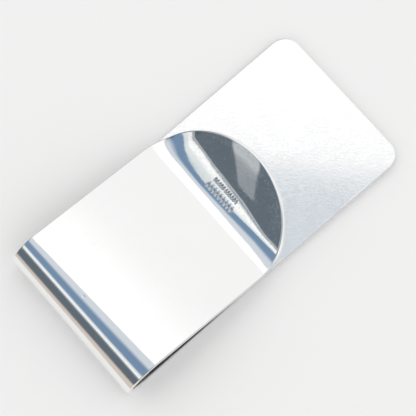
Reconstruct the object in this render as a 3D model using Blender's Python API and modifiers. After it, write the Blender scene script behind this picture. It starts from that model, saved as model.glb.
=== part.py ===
"""Money clip: one strip of sterling silver folded into a spring.

A flat blank with two rounded corners at one end and a half-round at the other
is formed along a side profile: a flat back plate, a U bend, a front arm that
slopes down to the back plate, and a valley that turns up into the thumb lip.
The blank is cut at the places where the strip flexes, so each zone between
two of them is an object of its own.

+X runs from the bend to the free end, +Y across the strip and +Z away from the
back plate. The origin is under the middle of the clip, on the back face.
"""

import math

import bmesh
import bpy
from mathutils import Vector

# Driving dimensions, in metres and degrees.
CLIP_LENGTH = 0.0524
STRIP_WIDTH = 0.0254
STRIP_THICKNESS = 0.0010
FOLD_HEIGHT = 0.0064
CROWN_RADIUS = 0.0055
CROWN_START = 45.0
PINCH_FROM_NOSE = 0.0269
PINCH_CLEARANCE = 0.0003
VALLEY_RADIUS = 0.0045
LIP_ANGLE = 29.5
LIP_REACH = 0.0090
CORNER_RADIUS = 0.0027
EDGE_EASE = 0.00018
LIP_ROOT = 0.0010
FLEX_GAP = 0.0003

# How finely round stretches are divided.
CORNER_STEPS = 8
HALF_ROUND_STEPS = 32
ARC_STEP = 6.0
EDGE_SEGMENTS = 2

# Seen from outside, the bend is two arcs that share a tangent: a tight nose from the back plate round to
# CROWN_START degrees above the level of its centre, then a wider crown, whose top is the fold's height.
CROWN_SINE = math.sin(math.radians(CROWN_START))
NOSE_RADIUS = (FOLD_HEIGHT - CROWN_RADIUS * (1 - CROWN_SINE)) / (1 + CROWN_SINE)

# The middle of the strip's thickness is the line that keeps its length.
HALF_THICKNESS = STRIP_THICKNESS / 2
HALF_WIDTH = STRIP_WIDTH / 2
NOSE_X = -CLIP_LENGTH / 2
NOSE_MID_RADIUS = NOSE_RADIUS - HALF_THICKNESS
CROWN_MID_RADIUS = CROWN_RADIUS - HALF_THICKNESS
VALLEY_MID_RADIUS = VALLEY_RADIUS + HALF_THICKNESS

WELD_DISTANCE = 0.000001

SILVER = {"color": (0.93, 0.92, 0.90), "roughness": 0.12}
WORN_SILVER = {"color": (0.90, 0.90, 0.89), "roughness": 0.20}


def profile_segments():
    """The side profile as (length, turn per metre), from the free end of the back plate to the lip's tip."""
    crown_start = math.radians(CROWN_START)
    lip_angle = math.radians(LIP_ANGLE)
    crown_x = NOSE_X + NOSE_RADIUS + (CROWN_RADIUS - NOSE_RADIUS) * math.cos(crown_start)
    crown_z = FOLD_HEIGHT - CROWN_RADIUS
    valley_x = NOSE_X + PINCH_FROM_NOSE
    valley_z = STRIP_THICKNESS + PINCH_CLEARANCE + HALF_THICKNESS + VALLEY_MID_RADIUS
    # The front arm is the line that touches both the crown's arc and the valley's.
    run, rise = valley_x - crown_x, valley_z - crown_z
    span = math.hypot(run, rise)
    both_radii = CROWN_MID_RADIUS + VALLEY_MID_RADIUS
    slope = math.asin(both_radii / span) - math.atan2(rise, run)
    arm_length = math.sqrt(span**2 - both_radii**2)
    nose_turn = math.pi / 2 + crown_start
    crown_turn = math.pi / 2 - crown_start + slope
    valley_turn = slope + lip_angle
    lip_length = (LIP_REACH - VALLEY_MID_RADIUS * math.sin(lip_angle)) / math.cos(lip_angle)
    return [
        (CLIP_LENGTH - NOSE_RADIUS, 0.0),
        (NOSE_MID_RADIUS * nose_turn, -1 / NOSE_MID_RADIUS),
        (CROWN_MID_RADIUS * crown_turn, -1 / CROWN_MID_RADIUS),
        (arm_length, 0.0),
        (VALLEY_MID_RADIUS * valley_turn, 1 / VALLEY_MID_RADIUS),
        (lip_length, 0.0),
    ]


SEGMENTS = profile_segments()
BLANK_LENGTH = sum(length for length, _ in SEGMENTS)
LOWER_FLEX = SEGMENTS[0][0]
UPPER_FLEX = sum(length for length, _ in SEGMENTS[:3])
HALF_ROUND_START = BLANK_LENGTH - HALF_WIDTH
LIP_START = HALF_ROUND_START - LIP_ROOT


def place_on_profile(along):
    """The point (x, z) on the profile's middle line, and the line's direction there as an angle from +X to +Z."""
    x, z, angle = CLIP_LENGTH / 2, HALF_THICKNESS, math.pi
    for length, turn in SEGMENTS:
        step = min(along, length) if (length, turn) != SEGMENTS[-1] else along
        if turn:
            swept = angle + turn * step
            x += (math.sin(swept) - math.sin(angle)) / turn
            z += (math.cos(angle) - math.cos(swept)) / turn
            angle = swept
        else:
            x += step * math.cos(angle)
            z += step * math.sin(angle)
        along -= step
        if along <= 0:
            break
    return x, z, angle


def formed(point):
    """Where a point of the flat blank (along, across, height over the middle line) lies on the bent strip."""
    x, z, angle = place_on_profile(point.x)
    return Vector((x - point.z * math.sin(angle), point.y, z + point.z * math.cos(angle)))


def arc_points(centre_x, centre_y, radius, start, end, steps):
    """Points along an arc, from one angle to another in degrees."""
    angles = [math.radians(start + (end - start) * i / steps) for i in range(steps + 1)]
    return [(centre_x + radius * math.cos(a), centre_y + radius * math.sin(a)) for a in angles]


def blank_outline():
    """The flat blank seen from above, anticlockwise from its lower corner."""
    inset = HALF_WIDTH - CORNER_RADIUS
    low_corner = arc_points(CORNER_RADIUS, -inset, CORNER_RADIUS, 180, 270, CORNER_STEPS)
    half_round = arc_points(HALF_ROUND_START, 0, HALF_WIDTH, -90, 90, HALF_ROUND_STEPS)
    high_corner = arc_points(CORNER_RADIUS, inset, CORNER_RADIUS, 90, 180, CORNER_STEPS)
    return low_corner + half_round + high_corner


def make_blank(name):
    """The flat blank as a mesh: its outline filled and extruded, with eased edges."""
    curve = bpy.data.curves.new(name, "CURVE")
    curve.dimensions = "2D"
    curve.fill_mode = "BOTH"
    curve.extrude = HALF_THICKNESS
    outline = blank_outline()
    spline = curve.splines.new("POLY")
    spline.points.add(len(outline) - 1)
    for point, (along, across) in zip(spline.points, outline):
        point.co = (along, across, 0, 1)
    spline.use_cyclic_u = True
    flat = bpy.data.objects.new(name, curve)
    bpy.context.scene.collection.objects.link(flat)
    weld = flat.modifiers.new("Weld caps", "WELD")
    weld.merge_threshold = WELD_DISTANCE
    ease = flat.modifiers.new("Eased edges", "BEVEL")
    ease.width = EDGE_EASE
    ease.segments = EDGE_SEGMENTS
    ease.limit_method = "ANGLE"
    ease.angle_limit = math.radians(60)
    graph = bpy.context.evaluated_depsgraph_get()
    mesh = bpy.data.meshes.new_from_object(flat.evaluated_get(graph))
    bpy.data.objects.remove(flat)
    bpy.data.curves.remove(curve)
    return mesh


def bend_lines(start, end):
    """Where the blank is divided across, so that it can follow the profile's arcs between start and end."""
    lines = []
    segment_start = 0.0
    for length, turn in SEGMENTS:
        if turn:
            steps = math.ceil(math.degrees(abs(turn) * length) / ARC_STEP)
            lines += [segment_start + length * i / steps for i in range(steps + 1)]
        segment_start += length
    return [line for line in lines if start + WELD_DISTANCE < line < end - WELD_DISTANCE]


def cut_blank(strip, at, keep_after):
    """Cuts the blank straight across and closes the cut, keeping what lies after or before it."""
    cut = bmesh.ops.bisect_plane(
        strip,
        geom=strip.verts[:] + strip.edges[:] + strip.faces[:],
        plane_co=(at, 0, 0),
        plane_no=(1, 0, 0),
        clear_inner=keep_after,
        clear_outer=not keep_after,
    )
    edges = [part for part in cut["geom_cut"] if isinstance(part, bmesh.types.BMEdge)]
    bmesh.ops.edgeloop_fill(strip, edges=edges)


def make_zone(name, blank, start, end, material, axis_at=None):
    """The stretch of the blank between two lengths along it, formed on the profile.

    axis_at is the length along the strip where the zone flexes, and its origin.
    """
    strip = bmesh.new()
    strip.from_mesh(blank)
    flat_angle = math.radians(1)
    bmesh.ops.dissolve_limit(strip, angle_limit=flat_angle, verts=strip.verts, edges=strip.edges)
    if start > 0:
        cut_blank(strip, start, keep_after=True)
    if end < BLANK_LENGTH:
        cut_blank(strip, end, keep_after=False)
    for line in bend_lines(start, end):
        everything = strip.verts[:] + strip.edges[:] + strip.faces[:]
        bmesh.ops.bisect_plane(strip, geom=everything, plane_co=(line, 0, 0), plane_no=(1, 0, 0))
    origin = Vector((0, 0, 0))
    if axis_at is not None:
        axis_x, axis_z, _ = place_on_profile(axis_at)
        origin = Vector((axis_x, 0, axis_z))
    for vertex in strip.verts:
        vertex.co = formed(vertex.co) - origin
    mesh = bpy.data.meshes.new(name)
    strip.to_mesh(mesh)
    strip.free()
    mesh.shade_smooth()
    mesh.set_sharp_from_angle(angle=math.radians(35))
    mesh.materials.append(material)
    return bpy.data.objects.new(name, mesh)


def silver(name, look):
    """Polished silver as a metallic Principled material."""
    material = bpy.data.materials.new(name)
    material.use_nodes = True
    shader = material.node_tree.nodes["Principled BSDF"]
    shader.inputs["Base Color"].default_value = (*look["color"], 1)
    shader.inputs["Metallic"].default_value = 1.0
    shader.inputs["Roughness"].default_value = look["roughness"]
    return material


def flex_axis(name, along, collection):
    """An empty on the line that one flexing place turns about."""
    x, z, _ = place_on_profile(along)
    axis = bpy.data.objects.new(name, None)
    axis.empty_display_size = STRIP_WIDTH / 4
    axis.location = (x, 0, z)
    collection.objects.link(axis)
    return axis


def hang_on(piece, axis, collection):
    """Parents a piece to its flex axis, with its own origin on that axis."""
    collection.objects.link(piece)
    piece.parent = axis


def build():
    """Models the whole clip."""
    for old in list(bpy.data.objects):
        bpy.data.objects.remove(old)
    collection = bpy.data.collections.new("money_clip")
    bpy.context.scene.collection.children.link(collection)
    blank = make_blank("blank")
    half_gap = FLEX_GAP / 2

    back_plate = make_zone(
        "back_plate", blank, 0, LOWER_FLEX - half_gap, silver("back_plate_silver", WORN_SILVER)
    )
    collection.objects.link(back_plate)

    lower_axis = flex_axis("lower_flex_axis", LOWER_FLEX, collection)
    spring_bend = make_zone(
        "spring_bend",
        blank,
        LOWER_FLEX + half_gap,
        UPPER_FLEX - half_gap,
        silver("spring_bend_silver", SILVER),
        axis_at=LOWER_FLEX,
    )
    hang_on(spring_bend, lower_axis, collection)

    upper_axis = flex_axis("upper_flex_axis", UPPER_FLEX, collection)
    upper_axis.parent = lower_axis
    upper_axis.location -= lower_axis.location
    front_arm = make_zone(
        "front_arm",
        blank,
        UPPER_FLEX + half_gap,
        LIP_START - half_gap,
        silver("front_arm_silver", SILVER),
        axis_at=UPPER_FLEX,
    )
    hang_on(front_arm, upper_axis, collection)
    thumb_lip = make_zone(
        "thumb_lip",
        blank,
        LIP_START + half_gap,
        BLANK_LENGTH,
        silver("thumb_lip_silver", SILVER),
        axis_at=UPPER_FLEX,
    )
    hang_on(thumb_lip, upper_axis, collection)
    bpy.data.meshes.remove(blank)


build()
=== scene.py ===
"""Looks of a folded silver money clip: the strip's polished and worn sterling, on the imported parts."""

import math

import bpy
import numpy as np
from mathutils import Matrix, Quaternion, Vector


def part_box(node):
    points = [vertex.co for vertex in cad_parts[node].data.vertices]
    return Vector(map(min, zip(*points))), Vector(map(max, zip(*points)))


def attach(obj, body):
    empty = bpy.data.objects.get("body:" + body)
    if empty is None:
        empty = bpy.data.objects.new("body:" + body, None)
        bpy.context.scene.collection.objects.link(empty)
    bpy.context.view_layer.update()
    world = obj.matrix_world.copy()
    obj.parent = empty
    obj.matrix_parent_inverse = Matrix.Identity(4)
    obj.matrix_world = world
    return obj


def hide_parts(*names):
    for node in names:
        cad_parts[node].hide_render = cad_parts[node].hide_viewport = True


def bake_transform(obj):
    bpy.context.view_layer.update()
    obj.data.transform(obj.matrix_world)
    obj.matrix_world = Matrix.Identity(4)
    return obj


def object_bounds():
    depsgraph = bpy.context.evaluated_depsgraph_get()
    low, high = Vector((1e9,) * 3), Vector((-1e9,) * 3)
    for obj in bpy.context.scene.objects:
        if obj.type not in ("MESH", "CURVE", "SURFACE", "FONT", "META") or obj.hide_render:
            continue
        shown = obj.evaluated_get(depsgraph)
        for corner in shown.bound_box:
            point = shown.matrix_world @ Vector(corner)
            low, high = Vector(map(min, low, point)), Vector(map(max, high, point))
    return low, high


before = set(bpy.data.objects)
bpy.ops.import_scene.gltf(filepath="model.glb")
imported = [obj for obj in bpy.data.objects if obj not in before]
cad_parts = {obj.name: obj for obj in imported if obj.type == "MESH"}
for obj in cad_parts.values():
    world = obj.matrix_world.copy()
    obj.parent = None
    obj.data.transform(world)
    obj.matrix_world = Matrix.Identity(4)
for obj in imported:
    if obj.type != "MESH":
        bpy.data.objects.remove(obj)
CAD_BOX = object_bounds()

bl_info = {
    "name": "Folded Silver Money Clip",
    "version": (1, 0, 0),
    "blender": (4, 5, 0),
    "location": "3D View > Sidebar > Money Clip",
    "description": "Builds the silver skins of a folded money clip on its packed parts, with a small studio",
    "category": "Object",
}

MM = 0.001
PLACE = "flat_place"

PLATE_LOW, PLATE_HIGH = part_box("back_plate")
BEND_LOW, BEND_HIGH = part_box("spring_bend")


# ---------------------------------------------------------------------------
# Sizes and finishes that can be changed
# ---------------------------------------------------------------------------


def length(name, description, default):
    """A length property in metres."""
    return bpy.props.FloatProperty(
        name=name, description=description, default=default, unit="LENGTH", subtype="DISTANCE", precision=5
    )


def angle(name, description, degrees):
    """An angle property, given in degrees and kept in radians."""
    return bpy.props.FloatProperty(
        name=name,
        description=description,
        default=math.radians(degrees),
        unit="ROTATION",
        subtype="ANGLE",
    )


def share(name, description, default):
    """A plain number from 0 to 1."""
    return bpy.props.FloatProperty(
        name=name, description=description, default=default, min=0.0, max=1.0, subtype="FACTOR"
    )


def colour(name, description, default):
    """A linear colour property."""
    return bpy.props.FloatVectorProperty(
        name=name, description=description, default=default, size=3, min=0.0, max=4.0, subtype="COLOR"
    )


class ClipSizes(bpy.types.PropertyGroup):
    """Sizes of the folded strip."""

    clip_length: length("Clip length", "From the fold's nose to the free end", PLATE_HIGH.x - BEND_LOW.x)
    strip_width: length("Strip width", "Across the strip", PLATE_HIGH.y - PLATE_LOW.y)
    thickness: length("Thickness", "Gauge of the sheet", PLATE_HIGH.z - PLATE_LOW.z)
    fold_height: length("Fold height", "From the back face to the crown's top", BEND_HIGH.z - PLATE_LOW.z)
    crown_radius: length("Crown radius", "Outside radius of the fold's upper arc", 0.0055)
    crown_start: angle("Crown start", "Where the nose's arc hands over to the crown's", 45.0)
    pinch_from_nose: length("Pinch from nose", "From the fold's nose to the valley's lowest line", 0.0269)
    pinch_clearance: length("Pinch clearance", "Gap under the valley at rest", 0.0003)
    valley_radius: length("Valley radius", "Radius of the valley's upper face", 0.0045)
    lip_angle: angle("Lip angle", "Rise of the thumb lip", 29.5)
    lip_reach: length("Lip reach", "From the pinch to the lip's tip", 0.0090)
    corner_radius: length("Corner radius", "Round of the free end's two corners", 0.0027)
    edge_ease: length("Edge ease", "Rounding along every edge of the strip", 0.00020)
    bend_softness: length("Bend softness", "Length over which one bend fades into the next", 0.0008)
    rim_fall: length("Rim fall", "How far the faces fall near the rims from buffing", 0.000020)
    rim_fall_width: length("Rim fall width", "How far in from the rims that fall begins", 0.0016)
    mark_depth: length("Mark depth", "Depth of the punched row of lozenges", 0.00012)


class ClipFinish(bpy.types.PropertyGroup):
    """Colours and polish of the silver."""

    silver: colour("Silver", "Clean sterling silver", (0.955, 0.954, 0.951))
    film: colour("Film", "Silver under a thin tarnish film", (0.62, 0.56, 0.45))
    polished_roughness: share("Polished roughness", "Roughness of the clean polished faces", 0.040)
    worn_roughness: share("Worn roughness", "Roughness of the handled back plate", 0.035)
    hairlines: share("Hairlines", "How strongly the fine scratches show", 0.5)


class ClipStudio(bpy.types.PropertyGroup):
    """The floor, the light and the camera."""

    floor_colour: colour("Floor colour", "Pale matte floor", (0.93, 0.925, 0.92))
    room_light: bpy.props.FloatProperty(
        name="Room light", description="Brightness of the soft light on the floor", default=1.0, min=0.0
    )
    lens: bpy.props.FloatProperty(
        name="Lens", description="Focal length", default=147.1, unit="CAMERA", min=10.0
    )
    camera_distance: length("Camera distance", "From the camera to the point it looks at", 0.24428)
    camera_around: angle("Camera around", "Turn about the vertical, 0 looks along +Y", -30.72)
    camera_above: angle("Camera above", "Height above the horizon", 77.73)
    camera_roll: angle("Camera roll", "Turn about the line of sight", -10.63)


# ---------------------------------------------------------------------------
# The shape of the strip
# ---------------------------------------------------------------------------


# The punched rows: where the first lies past the valley's start and how far apart they are, then each row's
# lozenges, as their pitch and number across the strip and their size along it and across it.
MARKS = {"from_valley": 2.6 * MM, "apart": 1.49 * MM, "across": 0.1 * MM}
FIRST_ROW = {"pitch": 0.62 * MM, "count": 9, "long": 0.95 * MM, "wide": 0.55 * MM}
SECOND_ROW = {"pitch": 0.45 * MM, "count": 11, "long": 0.55 * MM, "wide": 0.40 * MM}
RAISED_EDGE = 0.25

# How finely the strip is divided.
EDGE_STEPS = 4
CORNER_STEPS = 14
HALF_ROUND_STEPS = 64
FLAT_STEP = 1.6 * MM
LIP_STEP = 0.16 * MM
MARK_STEP = 0.08 * MM
BEND_STEP = math.radians(2.0)
LOOK_AHEAD = 0.8 * MM
COLUMNS = 41
MARK_COLUMNS = 81
SIDE_COLUMNS = 21
MARKS_HALF_WIDTH = 3.1 * MM
TINY = 1e-6


class SideProfile:
    """The middle line of the bent strip, by length along it from the back plate's free end."""

    STEP = 0.00002

    def __init__(self, size):
        self.size = size
        self.half = size.thickness / 2
        nose_sine = math.sin(size.crown_start)
        nose_radius = (size.fold_height - size.crown_radius * (1 - nose_sine)) / (1 + nose_sine)
        nose_mid = nose_radius - self.half
        crown_mid = size.crown_radius - self.half
        valley_mid = size.valley_radius + self.half
        crown_x = nose_radius + (size.crown_radius - nose_radius) * math.cos(size.crown_start)
        crown_z = size.fold_height - size.crown_radius
        valley_z = size.thickness + size.pinch_clearance + self.half + valley_mid
        run, rise = size.pinch_from_nose - crown_x, valley_z - crown_z
        span = math.hypot(run, rise)
        slope = math.asin((crown_mid + valley_mid) / span) - math.atan2(rise, run)
        arm_length = math.sqrt(span**2 - (crown_mid + valley_mid) ** 2)
        lip_length = (size.lip_reach - valley_mid * math.sin(size.lip_angle)) / math.cos(size.lip_angle)
        self.segments = [
            (size.clip_length - nose_radius, 0.0),
            (nose_mid * (math.pi / 2 + size.crown_start), -1 / nose_mid),
            (crown_mid * (math.pi / 2 - size.crown_start + slope), -1 / crown_mid),
            (arm_length, 0.0),
            (valley_mid * (slope + size.lip_angle), 1 / valley_mid),
            (lip_length, 0.0),
        ]
        self.ends = np.cumsum([part for part, _ in self.segments])
        self.slope = slope
        self.total = float(self.ends[-1])
        self.nose_middle = self.ends[0] + nose_mid * math.pi / 2
        self.nose_x = PLATE_HIGH.x - size.clip_length
        self.trace()
        self.forming = HandForming(self)

    def trace(self):
        """Follows the middle line in small steps, with each bend fading into the next."""
        self.along = np.arange(0, self.total + 3 * self.STEP, self.STEP)
        turn = np.zeros(len(self.along))
        start = 0.0
        for part, rate in self.segments:
            turn[(self.along >= start) & (self.along < start + part)] = rate
            start += part
        width = max(1, round(self.size.bend_softness / self.STEP))
        window = np.hanning(width + 2)
        turn = np.convolve(turn, window / window.sum(), mode="same")
        self.turn = turn
        steps = (turn[1:] + turn[:-1]) / 2 * self.STEP
        self.angle = math.pi + np.concatenate([[0.0], np.cumsum(steps)])
        middle = (self.angle[1:] + self.angle[:-1]) / 2
        self.x = PLATE_HIGH.x + np.concatenate([[0.0], np.cumsum(np.cos(middle) * self.STEP)])
        self.z = PLATE_LOW.z + self.half + np.concatenate([[0.0], np.cumsum(np.sin(middle) * self.STEP)])

    def bend(self, place, facing):
        """Points and normals of the flat strip, as they are once it is bent."""
        along = place[:, 0]
        x, z, turned, rate = (
            np.interp(along, self.along, values) for values in (self.x, self.z, self.angle, self.turn)
        )
        points = np.stack(
            [x - place[:, 2] * np.sin(turned), place[:, 1], z + place[:, 2] * np.cos(turned)], axis=1
        )
        lean = facing[:, 0] / (1 - place[:, 2] * rate)
        normals = np.stack(
            [
                lean * np.cos(turned) - facing[:, 2] * np.sin(turned),
                facing[:, 1],
                lean * np.sin(turned) + facing[:, 2] * np.cos(turned),
            ],
            axis=1,
        )
        return points, normals / np.linalg.norm(normals, axis=1, keepdims=True)


# The valley as it was formed by hand: at each place across, how far past the pinch its upper face reaches
# each of the tilts. Places are in millimetres, and tilts in degrees.
VALLEY_TILTS = (-0.7, 6.8, 21.5, 24.9, 26.3, 27.8)
VALLEY_FORM = (
    (-12.7, (-0.1, 0.4, 1.9, 2.0, 2.2, 2.4)),
    (-8.0, (0.1, 0.6, 1.8, 1.9, 2.2, 2.5)),
    (-3.0, (0.1, 0.5, 1.5, 1.8, 2.6, 3.3)),
    (3.5, (0.2, 0.4, 1.2, 2.6, 3.3, 3.7)),
    (7.0, (0.3, 0.5, 1.5, 2.9, 3.8, 4.0)),
    (8.6, (0.3, 0.5, 2.0, 3.0, 3.8, 4.1)),
    (10.0, (0.3, 0.6, 3.0, 4.0, 5.1, 5.4)),
    (11.6, (0.6, 0.9, 3.4, 4.5, 5.7, 6.0)),
    (12.3, (2.3, 2.7, 4.2, 5.2, 6.4, 6.8)),
)
# How far the crown reaches each of its tilts too soon: per length across the strip, and everywhere.
CROWN_TILTS = (-10.9, -4.5, 4.0, 22.0, 37.0)
CROWN_LEAN = (0.040, 0.044, 0.045, 0.004, 0.0)
CROWN_SHIFT = (0.24 * MM, 0.24 * MM, 0.16 * MM, 0.0, 0.0)


def ease(value, low, high):
    """Rises smoothly from 0 at low to 1 at high."""
    t = np.clip((value - low) / (high - low), 0, 1)
    return t * t * (3 - 2 * t)


def smoothed(grid, axis, reach):
    """The grid blurred along one axis, over a number of cells."""
    window = np.hanning(2 * reach + 3)[1:-1]
    edge = [(reach, reach) if i == axis else (0, 0) for i in (0, 1)]
    padded = np.pad(grid, edge, mode="edge")
    return np.apply_along_axis(lambda line: np.convolve(line, window / window.sum(), "valid"), axis, padded)


class HandForming:
    """Unevenness left by forming the strip by hand, as a height added to the flat strip."""

    ALONG_STEP = 0.04 * MM
    ACROSS_STEP = 0.20 * MM
    BLUR_ALONG = 3
    BLUR_ACROSS = 2
    ARM_TILT_ENDS = 1.4 * MM
    NOSE_SETTLES = 2.1 * MM
    LIP_TILT_STARTS = 0.35 * MM
    LIP_CURLS_FROM = 4.5 * MM
    LIP_CURL = math.radians(0.12) / MM
    LIP_EXTRA_TILT = ((6 * MM, 9 * MM), (0.9, 0.6))
    PATCH_TILT = math.radians(1.45)
    PATCH_SOFT = 0.25 * MM

    def __init__(self, profile):
        size = profile.size
        reach = size.strip_width / 2 + 1 * MM
        self.along = np.arange(profile.ends[0], profile.total + 1 * MM, self.ALONG_STEP)
        self.across = np.arange(-reach, reach, self.ACROSS_STEP)
        tilt = np.interp(self.along, profile.along, profile.angle)
        middle = np.interp(self.along, profile.along, profile.x)
        past_pinch = middle - profile.half * np.sin(tilt) - (profile.nose_x + size.pinch_from_nose)
        change = self.crown_change(profile, tilt) + self.valley_change(profile, tilt, past_pinch)
        slope = np.tan(change + self.lip_patch(past_pinch))
        slope = smoothed(smoothed(slope, 0, self.BLUR_ALONG), 1, self.BLUR_ACROSS)
        steps = (slope[1:] + slope[:-1]) / 2 * self.ALONG_STEP
        self.height = np.vstack([np.zeros(len(self.across)), np.cumsum(steps, axis=0)])
        on_arm = np.searchsorted(self.along, (profile.ends[2] + profile.ends[3]) / 2)
        settled = ease(self.along, profile.nose_middle, profile.nose_middle + self.NOSE_SETTLES)
        self.height -= self.height[on_arm][None, :] * settled[:, None]
        self.slope_along = np.gradient(self.height, self.ALONG_STEP, axis=0)
        self.slope_across = np.gradient(self.height, self.ACROSS_STEP, axis=1)

    def valley_change(self, profile, tilt, past_pinch):
        """How much more the valley's upper face is tilted than the plain profile."""
        rows = [across * MM for across, _ in VALLEY_FORM]
        reached = np.array([places for _, places in VALLEY_FORM]) * MM
        change = np.zeros((len(self.along), len(self.across)))
        flat = math.degrees(-profile.slope), math.degrees(profile.size.lip_angle)
        in_valley = self.along > profile.ends[2] + 1 * MM
        for column, across in enumerate(self.across):
            places = [np.interp(across, rows, reached[:, k]) for k in range(len(VALLEY_TILTS))]
            places = [-self.ARM_TILT_ENDS, *places, places[-1] + self.LIP_TILT_STARTS]
            more = np.interp(across, *self.LIP_EXTRA_TILT)
            wanted = np.interp(past_pinch, places, np.radians([flat[0], *VALLEY_TILTS, flat[1] + more]))
            wanted += self.LIP_CURL * np.maximum(past_pinch - self.LIP_CURLS_FROM, 0)
            change[in_valley, column] = (wanted - tilt)[in_valley]
        return change

    def lip_patch(self, past_pinch):
        """A slightly flatter patch across the middle of the lip."""
        low = -4.4 * MM + (past_pinch[:, None] - 4.2 * MM) * 0.85
        high = (past_pinch[:, None] - 4.7 * MM) * 1.46
        soft = self.PATCH_SOFT
        across = self.across[None, :]
        inside = ease(across - low, -soft, soft) * ease(high - across, -soft, soft)
        return -self.PATCH_TILT * inside * ease(past_pinch[:, None], 4.1 * MM, 4.5 * MM)

    def crown_change(self, profile, tilt):
        """How much more the crown is tilted where its bend does not run quite square across the strip."""
        degrees = np.degrees(tilt)
        lean = np.interp(degrees, CROWN_TILTS, CROWN_LEAN)[:, None] * self.across[None, :]
        shift = lean + np.interp(degrees, CROWN_TILTS, CROWN_SHIFT)[:, None]
        shift /= np.cos(np.clip(tilt, -0.5, 0.7))[:, None]
        moved = np.interp(self.along[:, None] + shift, profile.along, profile.angle)
        crown = (self.along > profile.nose_middle) & (self.along < profile.ends[2] + 1 * MM)
        return np.where(crown[:, None], moved - tilt[:, None], 0)

    def at(self, along, across):
        """Height and its two slopes at places of the flat strip."""
        u = np.clip((along - self.along[0]) / self.ALONG_STEP, 0, len(self.along) - 1.001)
        v = np.clip((across - self.across[0]) / self.ACROSS_STEP, 0, len(self.across) - 1.001)
        i, j = u.astype(int), v.astype(int)
        u, v = u - i, v - j
        found = []
        for grid in (self.height, self.slope_along, self.slope_across):
            near = grid[i, j] * (1 - v) + grid[i, j + 1] * v
            far = grid[i + 1, j] * (1 - v) + grid[i + 1, j + 1] * v
            found.append(near * (1 - u) + far * u)
        return found


def rim_distance(along, across, profile):
    """How far a place on the flat strip is from its outline."""
    half_width = profile.size.strip_width / 2
    past_square = np.maximum(along - (profile.total - half_width), 0)
    return np.clip(np.minimum(half_width - np.hypot(past_square, across), along), 0, None)


def lozenge_row(along, across, row_along, row_across, pitch, count, long, wide):
    """A row of small lozenge dents across the strip, 1 in their middles, with raised metal around them."""
    index = np.clip(np.round((across - row_across) / pitch), -(count // 2), count // 2)
    u = np.abs(along - row_along) / (long / 2)
    v = np.abs(across - row_across - index * pitch) / (wide / 2)
    raised = RAISED_EDGE * np.exp(-(((u + v - 1.1) / 0.16) ** 2))
    return np.clip((1 - u - v) / 0.9, 0, 1) - raised


def punched_marks(along, across, profile):
    """Two generic rows of punched lozenges in the valley, as a depth."""
    valley = profile.ends[3] + MARKS["from_valley"]
    front = lozenge_row(along, across, valley, MARKS["across"], **FIRST_ROW)
    back = lozenge_row(along, across, valley + MARKS["apart"], MARKS["across"], **SECOND_ROW)
    return (front + back) * profile.size.mark_depth


def outer_height(along, across, profile):
    """Height of the outer face over the middle line."""
    size = profile.size
    distance = rim_distance(along, across, profile)
    fall = size.rim_fall * np.exp(-((distance / size.rim_fall_width) ** 2) * 2)
    return profile.half - fall - punched_marks(along, across, profile)


def outer_facing(along, across, profile):
    """Normals of the outer face on the flat strip, from its height around each place."""
    nudge = 0.01 * MM
    slope_along = outer_height(along + nudge, across, profile) - outer_height(along - nudge, across, profile)
    slope_across = outer_height(along, across + nudge, profile) - outer_height(along, across - nudge, profile)
    facing = np.stack([-slope_along, -slope_across, np.full(len(along), 2 * nudge)], axis=1)
    return facing / np.linalg.norm(facing, axis=1, keepdims=True)


def outline_stations(profile, start, end):
    """The outline's +Y side between two lengths: rows of (along, across, normal along, normal across)."""
    size = profile.size
    half_width = size.strip_width / 2
    square_end = profile.total - half_width
    rows = []
    if start <= 0:
        for t in np.linspace(0, math.pi / 2, CORNER_STEPS + 1):
            along = size.corner_radius * (1 - math.cos(t))
            across = half_width - size.corner_radius * (1 - math.sin(t))
            rows.append((along, across, -math.cos(t), math.sin(t)))
    straight_start = max(start, size.corner_radius if start <= 0 else start)
    straight_end = min(end, square_end)
    for along in straight_rows(profile, straight_start, straight_end):
        if not rows or along > rows[-1][0] + TINY:
            rows.append((along, half_width, 0.0, 1.0))
    if end >= profile.total:
        for t in np.linspace(0, math.pi / 2, HALF_ROUND_STEPS + 1)[1:]:
            along = square_end + half_width * math.sin(t)
            rows.append((along, half_width * math.cos(t), math.sin(t), math.cos(t)))
    return np.array(rows)


def straight_rows(profile, start, end):
    """Where the straight-sided stretch is divided: finely in bends and marks, coarsely on the flats."""
    rows = [start]
    while rows[-1] < end - TINY:
        here = rows[-1]
        rate = abs(float(np.interp(here, profile.along, profile.turn)))
        ahead = abs(float(np.interp(here + LOOK_AHEAD, profile.along, profile.turn)))
        step = FLAT_STEP if max(rate, ahead) < 1 else BEND_STEP / max(rate, ahead)
        if here > profile.ends[3] - 1 * MM:
            step = min(step, LIP_STEP)
        if near_marks(here, profile):
            step = MARK_STEP
        rows.append(min(here + min(step, FLAT_STEP), end))
    return rows


def near_marks(along, profile):
    """Whether a row across the strip passes through the punched marks."""
    first = profile.ends[3] + MARKS["from_valley"]
    return first - 0.6 * MM < along < first + MARKS["apart"] + 0.5 * MM


def columns_across(profile, fine):
    """Where each row is divided, as shares of its half width, finely where the marks are."""
    if not fine:
        return np.linspace(1, -1, COLUMNS)
    half_width = profile.size.strip_width / 2
    centre, reach = MARKS["across"] / half_width, MARKS_HALF_WIDTH / half_width
    middle = np.linspace(centre + reach, centre - reach, MARK_COLUMNS)
    left = np.linspace(1, centre + reach, SIDE_COLUMNS)[:-1]
    right = np.linspace(centre - reach, -1, SIDE_COLUMNS)[1:]
    return np.concatenate([left, middle, right])


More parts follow.
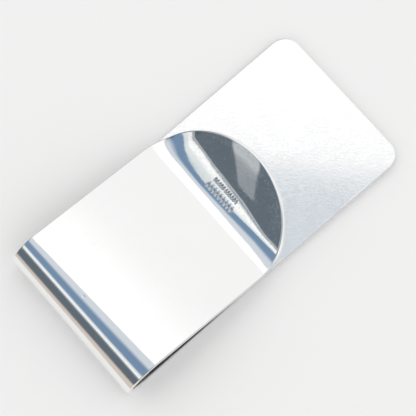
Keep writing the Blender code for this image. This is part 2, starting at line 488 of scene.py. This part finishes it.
class StripMesh:
    """Collects one closed stretch of the strip: outer face, inner face, rounded rim and cut ends."""

    def __init__(self, profile, start, end, fine=False):
        self.profile = profile
        self.places = []
        self.facings = []
        self.faces = []
        self.stations = outline_stations(profile, start, end)
        self.columns = columns_across(profile, fine)
        self.free_end = start <= 0
        self.tip = end >= profile.total

    def add(self, place, facing):
        """Adds one point of the flat strip and returns its number."""
        self.places.append(place)
        self.facings.append(facing)
        return len(self.places) - 1

    def rim(self, along, across, out_along, out_across):
        """The rounded rim at one place of the outline, from the outer face round to the inner face."""
        ease, half = self.profile.size.edge_ease, self.profile.half
        ring = []
        for side in (1, -1):
            turns = np.linspace(0, math.pi / 2, EDGE_STEPS + 1)
            for t in turns if side > 0 else turns[::-1]:
                inset = ease * (1 - math.sin(t))
                place = (
                    along - out_along * inset,
                    across - out_across * inset,
                    side * (half - ease * (1 - math.cos(t))),
                )
                facing = (out_along * math.sin(t), out_across * math.sin(t), side * math.cos(t))
                ring.append(self.add(place, facing))
        return ring

    def row(self, left, right, outer):
        """One row across a face, between the rims' own points."""
        ends = self.places[left], self.places[right]
        numbers = [left]
        for share_across in self.columns[1:-1]:
            across = ends[0][1] * share_across
            facing = (0.0, 0.0, 1.0 if outer else -1.0)
            numbers.append(self.add((ends[0][0], across, ends[0][2]), facing))
        return numbers + [right]

    def build(self):
        """Makes every row and rim, then the faces between them."""
        rims_left, rims_right, outer_rows, inner_rows = [], [], [], []
        last = len(self.stations) - 1
        for i, (along, across, out_along, out_across) in enumerate(self.stations):
            left = self.rim(along, across, out_along, out_across)
            if self.tip and i == last:
                right, outer, inner = left, [left[0]], [left[-1]]
            else:
                right = self.rim(along, -across, out_along, -out_across)
                outer = self.row(left[0], right[0], True)
                inner = self.row(left[-1], right[-1], False)
            rims_left.append(left)
            rims_right.append(right)
            outer_rows.append(outer)
            inner_rows.append(inner)
        for i in range(last):
            self.join(rims_left[i], rims_left[i + 1], True)
            self.join(rims_right[i], rims_right[i + 1], False)
            self.join(outer_rows[i], outer_rows[i + 1], False)
            self.join(inner_rows[i], inner_rows[i + 1], True)
        if self.free_end:
            self.close_free_end(rims_left[0], rims_right[0], outer_rows[0], inner_rows[0])
        else:
            self.faces.append(self.cut_end(rims_left[0], rims_right[0], outer_rows[0], inner_rows[0]))
        if not self.tip:
            loop = self.cut_end(rims_left[-1], rims_right[-1], outer_rows[-1], inner_rows[-1])
            self.faces.append(loop[::-1])

    def cut_end(self, left, right, outer, inner):
        """The loop of points round a flat cut end."""
        return left + inner[1:] + right[-2::-1] + outer[-2:0:-1]

    def join(self, one, other, flip):
        """Quads between two neighbouring lines of points, or triangles where the next is a single point."""
        for k in range(len(one) - 1):
            if len(other) == 1:
                face = [one[k], one[k + 1], other[0]]
            else:
                face = [one[k], one[k + 1], other[k + 1], other[k]]
            self.faces.append(face[::-1] if flip else face)

    def close_free_end(self, left, right, outer, inner):
        """The square end's rounded edge, between its two corners."""
        rings = [left]
        for k in range(1, len(outer) - 1):
            across = self.places[outer[k]][1]
            ring = self.rim(0.0, across, -1.0, 0.0)
            ring[0], ring[-1] = outer[k], inner[k]
            rings.append(ring)
        rings.append(right)
        for k in range(len(rings) - 1):
            self.join(rings[k], rings[k + 1], False)

    def to_object(self, name):
        """Bends the stretch on the profile and returns it as an object."""
        self.build()
        place = np.array(self.places)
        facing = np.array(self.facings)
        used = sorted({number for face in self.faces for number in face})
        renumber = {old: new for new, old in enumerate(used)}
        self.faces = [[renumber[n] for n in face] for face in self.faces]
        place, facing = place[used], facing[used]
        outer = place[:, 2] > 0
        height = outer_height(place[outer, 0], place[outer, 1], self.profile)
        flat = facing[outer, 2:3] > 0.999
        tilted = outer_facing(place[outer, 0], place[outer, 1], self.profile)
        place[outer, 2] += height - self.profile.half
        facing[outer] = np.where(flat, tilted, facing[outer])
        height, slope_along, slope_across = self.profile.forming.at(place[:, 0], place[:, 1])
        facing[:, 0] -= slope_along * facing[:, 2]
        facing[:, 1] -= slope_across * facing[:, 2]
        formed = place + np.stack([0 * height, 0 * height, height], axis=1)
        points, normals = self.profile.bend(formed, facing)
        mesh = bpy.data.meshes.new(name)
        mesh.from_pydata(points.tolist(), [], self.faces)
        mesh.update()
        mesh.shade_smooth()
        attribute = mesh.attributes.new(PLACE, "FLOAT_VECTOR", "POINT")
        attribute.data.foreach_set("vector", place.astype(np.float32).ravel())
        mesh.normals_split_custom_set_from_vertices(normals.tolist())
        made = bpy.data.objects.new(name, mesh)
        bpy.context.scene.collection.objects.link(made)
        return made


# ---------------------------------------------------------------------------
# Small helpers for node trees
# ---------------------------------------------------------------------------


def add_node(tree, kind, inputs=None, **settings):
    """Adds a node, sets its properties, and sets or links its inputs."""
    node = tree.nodes.new(kind)
    for key, value in settings.items():
        setattr(node, key, value)
    for key, value in (inputs or {}).items():
        if isinstance(value, bpy.types.NodeSocket):
            tree.links.new(value, node.inputs[key])
        else:
            node.inputs[key].default_value = value
    return node


def calculate(tree, operation, *values):
    """A Math node's result."""
    inputs = dict(enumerate(values))
    return add_node(tree, "ShaderNodeMath", inputs, operation=operation).outputs[0]


def spread(tree, value, low, high, to_low=0.0, to_high=1.0):
    """Maps a value smoothly from one range to another, held at the ends."""
    inputs = {"Value": value, "From Min": low, "From Max": high, "To Min": to_low, "To Max": to_high}
    kind = "SMOOTHSTEP"
    return add_node(tree, "ShaderNodeMapRange", inputs, interpolation_type=kind, clamp=True).outputs[0]


def mix_colours(tree, amount, one, other):
    """A mix of two colours."""
    node = add_node(tree, "ShaderNodeMix", data_type="RGBA")
    for index, value in ((0, amount), (6, one), (7, other)):
        if isinstance(value, bpy.types.NodeSocket):
            tree.links.new(value, node.inputs[index])
        elif index:
            node.inputs[index].default_value = (*value, 1.0)
        else:
            node.inputs[index].default_value = value
    return node.outputs[2]


def new_group(name, inputs, outputs):
    """A new shader node group, with what comes into it and what goes out of it."""
    tree = bpy.data.node_groups.new(name, "ShaderNodeTree")
    for socket, kind, default in inputs:
        made = tree.interface.new_socket(socket, in_out="INPUT", socket_type=kind)
        if default is not None:
            made.default_value = default
    for socket, kind in outputs:
        tree.interface.new_socket(socket, in_out="OUTPUT", socket_type=kind)
    source = tree.nodes.new("NodeGroupInput")
    result = tree.nodes.new("NodeGroupOutput")
    return tree, source.outputs, result.inputs


def strip_place_group(size):
    """Where a point lies on the flat strip in millimetres, how far from the rims, and on which face."""
    outputs = [
        ("Place", "NodeSocketVector"),
        ("Rim Distance", "NodeSocketFloat"),
        ("Inner Face", "NodeSocketFloat"),
    ]
    tree, _, result = new_group("Strip place", [], outputs)
    place = add_node(tree, "ShaderNodeAttribute", attribute_type="GEOMETRY", attribute_name=PLACE)
    scaled = {0: place.outputs["Vector"], 1: (1 / MM,) * 3}
    in_mm = add_node(tree, "ShaderNodeVectorMath", scaled, operation="MULTIPLY")
    parts = add_node(tree, "ShaderNodeSeparateXYZ", {0: in_mm.outputs[0]})
    along, across, height = parts.outputs
    profile = SideProfile(size)
    half_width = size.strip_width / 2 / MM
    past = calculate(tree, "SUBTRACT", along, profile.total / MM - half_width)
    past = calculate(tree, "MAXIMUM", past, 0.0)
    squares = [calculate(tree, "POWER", part, 2.0) for part in (past, across)]
    squared = calculate(tree, "ADD", *squares)
    side = calculate(tree, "SUBTRACT", half_width, calculate(tree, "SQRT", squared))
    tree.links.new(in_mm.outputs[0], result["Place"])
    tree.links.new(calculate(tree, "MINIMUM", side, along), result["Rim Distance"])
    tree.links.new(spread(tree, height, 0.1, -0.3), result["Inner Face"])
    return tree


# Each direction of the scratches: its turn, how much it is stretched, and where its noise starts.
SCRATCH_DIRECTIONS = ((0.25, 0.16, 0.0), (1.35, 0.22, 31.0), (2.35, 0.12, 67.0))


def hairline_group():
    """Fine straight scratches in three directions, as a mask."""
    inputs = [
        ("Place", "NodeSocketVector", None),
        ("Fineness", "NodeSocketFloat", 9.0),
        ("Cover", "NodeSocketFloat", 0.5),
    ]
    tree, source, result = new_group("Hairline scratches", inputs, [("Scratches", "NodeSocketFloat")])
    lines = None
    for turn, reach, shift in SCRATCH_DIRECTIONS:
        turned = add_node(
            tree,
            "ShaderNodeMapping",
            {"Vector": source["Place"], "Rotation": (0, 0, turn), "Location": (shift, shift, 0)},
        )
        stretched = add_node(
            tree, "ShaderNodeVectorMath", {0: turned.outputs[0], 1: (reach, 1.0, 0.0)}, operation="MULTIPLY"
        )
        noise = add_node(
            tree,
            "ShaderNodeTexNoise",
            {"Vector": stretched.outputs[0], "Scale": source["Fineness"], "Detail": 1.0},
            noise_dimensions="2D",
        )
        patch = add_node(
            tree,
            "ShaderNodeTexNoise",
            {"Vector": turned.outputs[0], "Scale": 0.35, "Detail": 2.0},
            noise_dimensions="2D",
        )
        covered = calculate(tree, "MULTIPLY", source["Cover"], patch.outputs[0])
        edge = calculate(tree, "SUBTRACT", 0.80, covered)
        above = calculate(tree, "SUBTRACT", noise.outputs[0], edge)
        line = spread(tree, above, 0.0, 0.06)
        lines = line if lines is None else calculate(tree, "MAXIMUM", lines, line)
    tree.links.new(lines, result["Scratches"])
    return tree


def haze_group():
    """Soft handling haze with a fine mottle in it, as a mask."""
    inputs = [
        ("Place", "NodeSocketVector", None),
        ("Spread", "NodeSocketFloat", 0.12),
        ("Mottle", "NodeSocketFloat", 0.4),
    ]
    outputs = [("Haze", "NodeSocketFloat"), ("Mottle", "NodeSocketFloat")]
    tree, source, result = new_group("Handling haze", inputs, outputs)
    clouds = {"Vector": source["Place"], "Scale": source["Spread"], "Detail": 4.0, "Distortion": 0.6}
    cloud = add_node(tree, "ShaderNodeTexNoise", clouds)
    speck = add_node(tree, "ShaderNodeTexNoise", {"Vector": source["Place"], "Scale": 2.6, "Detail": 1.0})
    soft = spread(tree, cloud.outputs[0], 0.38, 0.68)
    fine = spread(tree, speck.outputs[0], 0.35, 0.70)
    mottled = calculate(tree, "MULTIPLY", fine, source["Mottle"])
    kept = calculate(tree, "SUBTRACT", 1.0, source["Mottle"])
    share_of_haze = calculate(tree, "ADD", mottled, kept)
    tree.links.new(calculate(tree, "MULTIPLY", soft, share_of_haze), result["Haze"])
    tree.links.new(speck.outputs[0], result["Mottle"])
    return tree


def rim_wear_group():
    """Rubbed metal along the strip's rims, as a mask."""
    inputs = [
        ("Place", "NodeSocketVector", None),
        ("Rim Distance", "NodeSocketFloat", 1.0),
        ("Reach", "NodeSocketFloat", 0.5),
    ]
    tree, source, result = new_group("Rubbed rims", inputs, [("Wear", "NodeSocketFloat")])
    uneven = add_node(tree, "ShaderNodeTexNoise", {"Vector": source["Place"], "Scale": 1.1, "Detail": 3.0})
    doubled = calculate(tree, "MULTIPLY", uneven.outputs[0], 2.0)
    reach = calculate(tree, "MULTIPLY", source["Reach"], doubled)
    tree.links.new(spread(tree, source["Rim Distance"], reach, 0.0), result["Wear"])
    return tree


def film_group():
    """Thin, patchy tarnish film with its own share on the outer and the inner faces, as a mask."""
    inputs = [
        ("Place", "NodeSocketVector", None),
        ("Inner Face", "NodeSocketFloat", 0.0),
        ("Outer Share", "NodeSocketFloat", 0.05),
        ("Inner Share", "NodeSocketFloat", 0.45),
    ]
    tree, source, result = new_group("Tarnish film", inputs, [("Film", "NodeSocketFloat")])
    patchy = add_node(tree, "ShaderNodeTexNoise", {"Vector": source["Place"], "Scale": 0.22, "Detail": 5.0})
    cover = spread(tree, patchy.outputs[0], 0.30, 0.75)
    inner = calculate(tree, "MULTIPLY", source["Inner Face"], source["Inner Share"])
    amount = calculate(tree, "ADD", inner, source["Outer Share"])
    tree.links.new(calculate(tree, "MULTIPLY", amount, cover), result["Film"])
    return tree


# Each nick: how far past the crown's start, how far across, and how wide, in millimetres.
NICKS = ((3.55, 1.3, 0.20), (4.0, -9.6, 0.11), (9.5, 6.2, 0.09), (26.9, 8.4, 0.12), (29.3, 8.9, 0.10))


def nick_group(size):
    """A few small dents of the polished side, as a height."""
    inputs = [("Place", "NodeSocketVector", None)]
    tree, source, result = new_group("Nicks", inputs, [("Height", "NodeSocketFloat")])
    crown = SideProfile(size).ends[1] / MM
    flattened = {0: source["Place"], 1: (1.0, 1.0, 0.0)}
    flat = add_node(tree, "ShaderNodeVectorMath", flattened, operation="MULTIPLY")
    height = 0.0
    for past_crown, across, reach in NICKS:
        place = (crown + past_crown, across, 0.0)
        away = add_node(tree, "ShaderNodeVectorMath", {0: flat.outputs[0], 1: place}, operation="DISTANCE")
        dent = spread(tree, away.outputs["Value"], reach, 0.0, 0.0, -reach)
        height = calculate(tree, "ADD", height, dent)
    tree.links.new(height, result["Height"])
    return tree


def effect_groups():
    """The silver's shared effects, built once."""
    size = bpy.context.scene.clip_sizes
    makers = {
        "Strip place": lambda: strip_place_group(size),
        "Hairline scratches": hairline_group,
        "Handling haze": haze_group,
        "Rubbed rims": rim_wear_group,
        "Tarnish film": film_group,
        "Nicks": lambda: nick_group(size),
    }
    return {name: bpy.data.node_groups.get(name) or make() for name, make in makers.items()}


RUBBED = {"share": 0.35, "colour": (0.98, 0.975, 0.965)}
FILM_HIDES_METAL = 0.5
ADDED_ROUGHNESS = {"scratches": 0.10, "rims": 0.10, "film": 0.22}
NICK_DEPTH = 0.25 * MM


def silver_material(name, polish):
    """Sterling silver with hairlines, haze, rubbed rims and a thin film, by the values in polish."""
    found = bpy.data.materials.get(name)
    if found:
        return found
    finish = bpy.context.scene.clip_finish
    groups = effect_groups()
    material = bpy.data.materials.new(name)
    material.use_nodes = True
    tree = material.node_tree
    shader = tree.nodes["Principled BSDF"]

    def effect(group, **inputs):
        """One of the shared effects, with its inputs set or linked."""
        node = add_node(tree, "ShaderNodeGroup", node_tree=groups[group])
        for key, value in inputs.items():
            socket = node.inputs[key.replace("_", " ").title()]
            if isinstance(value, bpy.types.NodeSocket):
                tree.links.new(value, socket)
            else:
                socket.default_value = value
        return node.outputs

    strip = effect("Strip place")
    place, rim = strip["Place"], strip["Rim Distance"]
    lines = effect("Hairline scratches", place=place, fineness=polish["fineness"], cover=polish["cover"])
    haze = effect("Handling haze", place=place, spread=polish["spread"], mottle=polish["mottle"])
    wear = effect("Rubbed rims", place=place, rim_distance=rim, reach=polish["rim_reach"])
    shares = {"outer_share": polish["film"], "inner_share": polish["inner_film"]}
    film = effect("Tarnish film", place=place, inner_face=strip["Inner Face"], **shares)

    base = mix_colours(tree, film["Film"], finish.silver, finish.film)
    rub = calculate(tree, "MULTIPLY", wear["Wear"], RUBBED["share"])
    rubbed = mix_colours(tree, rub, base, RUBBED["colour"])
    tree.links.new(rubbed, shader.inputs["Base Color"])
    metal = calculate(tree, "MULTIPLY_ADD", film["Film"], -FILM_HIDES_METAL, 1.0)
    tree.links.new(metal, shader.inputs["Metallic"])

    rough = calculate(tree, "MULTIPLY_ADD", haze["Haze"], polish["haze_roughness"], polish["roughness"])
    scratched = ADDED_ROUGHNESS["scratches"] * finish.hairlines
    rough = calculate(tree, "MULTIPLY_ADD", lines["Scratches"], scratched, rough)
    rough = calculate(tree, "MULTIPLY_ADD", wear["Wear"], ADDED_ROUGHNESS["rims"], rough)
    rough = calculate(tree, "MULTIPLY_ADD", film["Film"], ADDED_ROUGHNESS["film"], rough)
    tree.links.new(rough, shader.inputs["Roughness"])

    peel = calculate(tree, "MULTIPLY", haze["Mottle"], polish["peel"])
    cut = calculate(tree, "MULTIPLY", lines["Scratches"], -finish.hairlines)
    height = calculate(tree, "ADD", peel, cut)
    fine = {"Strength": 1.0, "Distance": polish["bump_height"], "Height": height}
    bump = add_node(tree, "ShaderNodeBump", fine)
    nicks = effect("Nicks", place=place)["Height"]
    dents = {"Strength": 1.0, "Distance": NICK_DEPTH, "Height": nicks, "Normal": bump.outputs[0]}
    dented = add_node(tree, "ShaderNodeBump", dents)
    tree.links.new(dented.outputs[0], shader.inputs["Normal"])
    return material


def polished_silver():
    """Bright polish of the fold, the arm and the lip."""
    values = {
        "fineness": 7.0,
        "cover": 0.22,
        "spread": 0.10,
        "mottle": 0.35,
        "rim_reach": 0.35,
        "film": 0.012,
        "inner_film": 0.45,
        "roughness": bpy.context.scene.clip_finish.polished_roughness,
        "haze_roughness": 0.03,
        "peel": 0.5,
        "bump_height": 0.0000012,
    }
    return silver_material("silver_polished", values)


def worn_silver():
    """Handled polish of the back plate, with more hairlines and a fine mottle."""
    values = {
        "fineness": 6.0,
        "cover": 0.36,
        "spread": 0.07,
        "mottle": 0.6,
        "rim_reach": 0.5,
        "film": 0.012,
        "inner_film": 0.03,
        "roughness": bpy.context.scene.clip_finish.worn_roughness,
        "haze_roughness": 0.03,
        "peel": 1.0,
        "bump_height": 0.0000013,
    }
    return silver_material("silver_worn", values)


# ---------------------------------------------------------------------------
# The strip's pieces
# ---------------------------------------------------------------------------


SEAM_INSIDE_FLEX = 0.8 * MM


def skin_breaks(profile):
    """Where the skins meet, by length along the strip."""
    return {
        "plate_end": profile.ends[0] - SEAM_INSIDE_FLEX,
        "nose_middle": profile.nose_middle,
        "arm_start": profile.ends[2] + SEAM_INSIDE_FLEX,
    }


class CLIP_OT_back_plate(bpy.types.Operator):
    """Make the flat back plate's skin"""

    bl_idname = "clip.back_plate"
    bl_label = "Back plate"

    def execute(self, context):
        profile = SideProfile(context.scene.clip_sizes)
        skin = StripMesh(profile, 0.0, skin_breaks(profile)["plate_end"]).to_object("back_plate_skin")
        skin.data.materials.append(worn_silver())
        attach(skin, "back")
        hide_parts("back_plate")
        return {"FINISHED"}


class CLIP_OT_spring_bend(bpy.types.Operator):
    """Make the fold's two skins"""

    bl_idname = "clip.spring_bend"
    bl_label = "Spring bend"

    def execute(self, context):
        profile = SideProfile(context.scene.clip_sizes)
        breaks = skin_breaks(profile)
        lower = StripMesh(profile, breaks["plate_end"], breaks["nose_middle"]).to_object("lower_fold_skin")
        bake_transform(lower)
        upper = StripMesh(profile, breaks["nose_middle"], breaks["arm_start"]).to_object("upper_fold_skin")
        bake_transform(upper)
        for skin in (lower, upper):
            skin.data.materials.append(polished_silver())
            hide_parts("spring_bend")
        return {"FINISHED"}


class CLIP_OT_front_arm(bpy.types.Operator):
    """Make the front arm with its valley, punched marks and thumb lip"""

    bl_idname = "clip.front_arm"
    bl_label = "Front arm and lip"

    def execute(self, context):
        profile = SideProfile(context.scene.clip_sizes)
        start = skin_breaks(profile)["arm_start"]
        skin = StripMesh(profile, start, profile.total, fine=True).to_object("front_arm_skin")
        skin.data.materials.append(polished_silver())
        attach(skin, "front")
        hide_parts("front_arm", "thumb_lip")
        return {"FINISHED"}


# ---------------------------------------------------------------------------
# The room, the floor and the camera
# ---------------------------------------------------------------------------


AIM = Vector((-0.1 * MM, 0.1 * MM, 2.0 * MM))

# The room that the polish mirrors is a few plain panels.
WARM_GREY = (0.65, 0.58, 0.52)
SLATE = (0.12, 0.15, 0.18)
PEWTER = (0.55, 0.58, 0.60)
DUSK = (0.25, 0.30, 0.35)
LAMP = (1.05, 1.05, 1.05)
PALE_GREY = (0.75, 0.80, 0.80)
BLUE = (0.18, 0.28, 0.42)
PALE_BLUE = (0.65, 0.70, 0.75)
WHITE = (1.1, 1.1, 1.1)
CEILING = (0.95, 0.95, 0.95)
# Each panel runs between two heights over the clip's length, in degrees, and what lies between two is soft.
ROOM = (
    (0, 11, WARM_GREY),
    (18, 39, SLATE),
    (41, 41.5, PEWTER),
    (42, 43, DUSK),
    (44, 46.5, LAMP),
    (48, 52, PALE_GREY),
    (54, 72, BLUE),
    (81, 98, PALE_BLUE),
    (99, 114, WHITE),
    (115.5, 122, CEILING),
)
# The panels lie askew by how far to the side one looks, held to a limit, and only in the
# heights between the two fades.
ROOM_TURN = math.radians(10.6)
ROOM_SKEW = 0.9
SKEW_LIMIT = 0.07
SKEW_FADES = ((88, 96, 0.0), (103, 108, 1.0))
# How much dimmer the room is to the sides, and between which angles it fades.
SIDES = {"share": 0.42, "from": 25, "to": 55}
SEEN_ROOM = (0.93, 0.935, 0.94, 1.0)
WHITE_LIGHT = (1.0, 1.0, 1.0, 1.0)


def set_room(studio):
    """A soft room of plain panels for the polish to mirror, with even white light on the floor."""
    world = bpy.data.worlds.new("soft_room")
    bpy.context.scene.world = world
    world.use_nodes = True
    tree = world.node_tree
    tree.nodes.clear()
    way = add_node(tree, "ShaderNodeTexCoord").outputs["Generated"]
    x, y, z = add_node(tree, "ShaderNodeSeparateXYZ", {0: way}).outputs
    over = calculate(tree, "ARCTAN2", z, calculate(tree, "MULTIPLY", x, -1.0))
    aside = calculate(tree, "ARCSINE", y)
    lean = calculate(tree, "MULTIPLY", calculate(tree, "SUBTRACT", aside, ROOM_TURN), ROOM_SKEW)
    lean = calculate(tree, "MAXIMUM", lean, -SKEW_LIMIT)
    lean = calculate(tree, "MINIMUM", lean, SKEW_LIMIT)
    for low, high, low_share in SKEW_FADES:
        kept = spread(tree, over, math.radians(low), math.radians(high), low_share, 1.0 - low_share)
        lean = calculate(tree, "MULTIPLY", lean, kept)
    over = calculate(tree, "ADD", over, lean)
    ramp = add_node(tree, "ShaderNodeValToRGB", {0: calculate(tree, "DIVIDE", over, math.pi)})
    stops = ramp.color_ramp.elements
    while len(stops) > 1:
        stops.remove(stops[-1])
    edges = [(degrees, shade) for low, high, shade in ROOM for degrees in (low, high)]
    for number, (degrees, shade) in enumerate(edges):
        stop = stops[0] if number == 0 else stops.new(degrees / 180)
        stop.position = degrees / 180
        stop.color = (*shade, 1.0)
    sideways = calculate(tree, "ABSOLUTE", aside)
    fade_from, fade_to = math.radians(SIDES["from"]), math.radians(SIDES["to"])
    dim = spread(tree, sideways, fade_from, fade_to, 1.0, SIDES["share"])
    rays = add_node(tree, "ShaderNodeLightPath").outputs
    seen = add_node(tree, "ShaderNodeBackground", {"Color": SEEN_ROOM, "Strength": 1.0})
    room = add_node(tree, "ShaderNodeBackground", {"Color": ramp.outputs[0], "Strength": dim})
    light = add_node(tree, "ShaderNodeBackground", {"Color": WHITE_LIGHT, "Strength": studio.room_light})
    lit = {0: rays["Is Diffuse Ray"], 1: room.outputs[0], 2: light.outputs[0]}
    lit = add_node(tree, "ShaderNodeMixShader", lit)
    shown = {0: rays["Is Camera Ray"], 1: lit.outputs[0], 2: seen.outputs[0]}
    shown = add_node(tree, "ShaderNodeMixShader", shown)
    out = add_node(tree, "ShaderNodeOutputWorld")
    tree.links.new(shown.outputs[0], out.inputs["Surface"])


FLOOR_HALF_SIZE = 2.0
FLOOR_BELOW = 0.03 * MM


def set_floor(studio):
    """A pale matte floor just under the clip."""
    half = FLOOR_HALF_SIZE
    level = CAD_BOX[0].z - FLOOR_BELOW
    corners = [(-half, -half, level), (half, -half, level), (half, half, level), (-half, half, level)]
    mesh = bpy.data.meshes.new("pale_floor")
    mesh.from_pydata(corners, [], [(0, 1, 2, 3)])
    material = bpy.data.materials.new("pale_floor")
    material.use_nodes = True
    shader = material.node_tree.nodes["Principled BSDF"]
    shader.inputs["Base Color"].default_value = (*studio.floor_colour, 1.0)
    shader.inputs["Roughness"].default_value = 0.9
    shader.inputs["Specular IOR Level"].default_value = 0.1
    mesh.materials.append(material)
    floor = bpy.data.objects.new("pale_floor", mesh)
    bpy.context.scene.collection.objects.link(floor)


def set_camera(studio):
    """The camera, aimed at the middle of the clip."""
    around, above = studio.camera_around, studio.camera_above
    back = Vector(
        (math.sin(around) * math.cos(above), -math.cos(around) * math.cos(above), math.sin(above))
    )
    camera = bpy.data.cameras.new("camera")
    camera.lens = studio.lens
    camera.clip_start = 0.01
    holder = bpy.data.objects.new("camera", camera)
    bpy.context.scene.collection.objects.link(holder)
    holder.rotation_mode = "QUATERNION"
    holder.location = AIM + back * studio.camera_distance
    turn = (-back).to_track_quat("-Z", "Y")
    holder.rotation_quaternion = turn @ Quaternion((0, 0, 1), studio.camera_roll)
    bpy.context.scene.camera = holder


class CLIP_OT_studio(bpy.types.Operator):
    """Make the floor, the soft light and the camera"""

    bl_idname = "clip.studio"
    bl_label = "Studio"

    def execute(self, context):
        studio = context.scene.clip_studio
        set_room(studio)
        set_floor(studio)
        set_camera(studio)
        context.scene.view_settings.view_transform = "Standard"
        return {"FINISHED"}


class CLIP_PT_panel(bpy.types.Panel):
    """The clip's tools in the sidebar"""

    bl_idname = "CLIP_PT_panel"
    bl_label = "Money Clip"
    bl_space_type = "VIEW_3D"
    bl_region_type = "UI"
    bl_category = "Money Clip"

    def draw(self, context):
        layout = self.layout
        for operator in OPERATORS:
            layout.operator(operator.bl_idname)
        for group in (context.scene.clip_sizes, context.scene.clip_finish, context.scene.clip_studio):
            box = layout.box()
            for key in group.__annotations__:
                box.prop(group, key)


OPERATORS = (CLIP_OT_back_plate, CLIP_OT_spring_bend, CLIP_OT_front_arm, CLIP_OT_studio)
GROUPS = {"clip_sizes": ClipSizes, "clip_finish": ClipFinish, "clip_studio": ClipStudio}


def register():
    """Registers the classes and hangs the settings on the scene."""
    for kind in (*GROUPS.values(), *OPERATORS, CLIP_PT_panel):
        bpy.utils.register_class(kind)
    for name, kind in GROUPS.items():
        setattr(bpy.types.Scene, name, bpy.props.PointerProperty(type=kind))


def unregister():
    """Takes the settings and the classes away again."""
    for name in GROUPS:
        delattr(bpy.types.Scene, name)
    for kind in reversed((*GROUPS.values(), *OPERATORS, CLIP_PT_panel)):
        bpy.utils.unregister_class(kind)


def main():
    """Builds everything in order."""
    register()
    bpy.ops.clip.back_plate()
    bpy.ops.clip.spring_bend()
    bpy.ops.clip.front_arm()
    bpy.ops.clip.studio()


if __name__ == "__main__":
    main()
